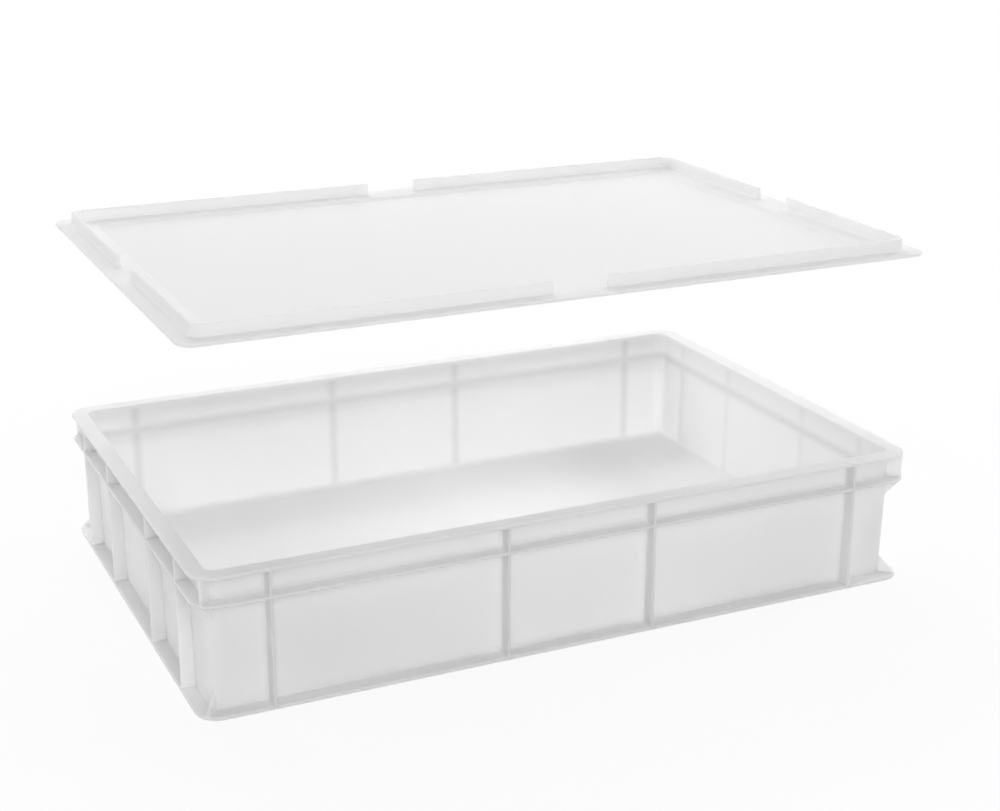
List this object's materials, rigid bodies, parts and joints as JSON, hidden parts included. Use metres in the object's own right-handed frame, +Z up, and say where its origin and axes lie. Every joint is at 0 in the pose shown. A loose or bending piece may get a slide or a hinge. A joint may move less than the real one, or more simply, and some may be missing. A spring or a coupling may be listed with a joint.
{
  "type": "dough proofing container",
  "caption": "Shallow stackable tray of frosted white plastic with ribbed sides, flanged rim and base, and a loose flat lid with a stacking ridge, shown lifted off; holds resting dough.",
  "frame": {"origin": "centre of the box's footprint, on the surface it stands on", "axes": "+X along the long sides, +Y from the near long side to the far one, +Z up, the way the lid lifts"},
  "size_m": [0.6, 0.4, 0.2875],
  "materials": {
    "box_plastic": "frosted, milky translucent polypropylene",
    "lid_plastic": "frosted, milky translucent polypropylene"
  },
  "bodies": {
    "box_body": {"box": "box_plastic"},
    "lid_body": {"lid": "lid_plastic"}
  },
  "joints": [
    {"name": "lid_lift", "type": "slide", "parent": "box_body", "child": "lid_body", "axis": [0, 0, 1], "range_m": [-0.165, 0.06]}
  ]
}
